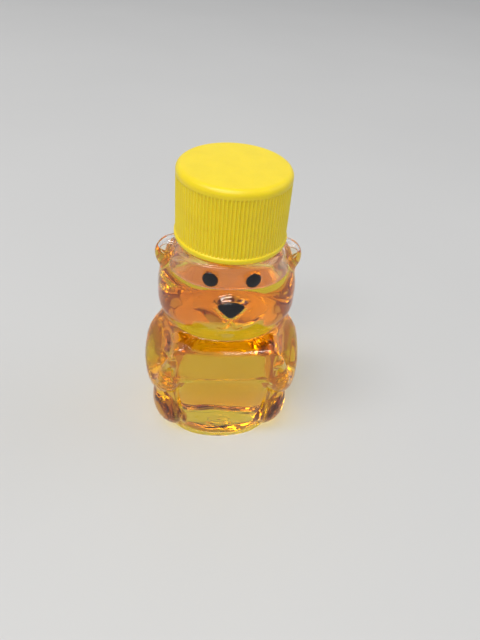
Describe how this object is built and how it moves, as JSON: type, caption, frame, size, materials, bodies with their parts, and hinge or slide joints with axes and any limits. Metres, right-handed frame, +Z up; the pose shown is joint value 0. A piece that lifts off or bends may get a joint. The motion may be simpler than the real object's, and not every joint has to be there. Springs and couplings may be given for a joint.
{
  "type": "bear-shaped honey bottle",
  "caption": "Small clear bear-shaped bottle of amber honey, with a plain panel in the bear's hands, black eyes and nose, and a yellow ribbed screw cap.",
  "frame": {"origin": "centre of the base, on the surface that the bottle stands on", "axes": "+Z up along the neck; the bear faces -Y, and +X is on the right of someone who looks at its face"},
  "size_m": [0.046, 0.0343, 0.0845],
  "materials": {
    "clear_plastic": "clear glossy blow-moulded PET",
    "honey": "clear amber honey",
    "black_ink": "glossy printed ink",
    "yellow_plastic": "satin polypropylene",
    "liner_foam": "white foam disc"
  },
  "bodies": {
    "bottle": {"bottle": "clear_plastic", "honey": "honey", "left_eye": "black_ink", "right_eye": "black_ink", "nose": "black_ink"},
    "seal": {"cap_liner": "liner_foam"},
    "closure": {"cap": "yellow_plastic"}
  },
  "joints": [
    {"name": "cap_lift", "type": "slide", "parent": "bottle", "child": "seal", "axis": [0, 0, 1], "range_m": [0, 0.0191]},
    {"name": "cap_turn", "type": "hinge", "parent": "seal", "child": "closure", "pos_m": [0, 0, 0.0755], "axis": [0, 0, 1], "range_deg": [0, 2160]}
  ],
  "couplings": [
    {"joint": "cap_lift", "follows": "cap_turn", "m_per_rad": 0.00050532}
  ]
}
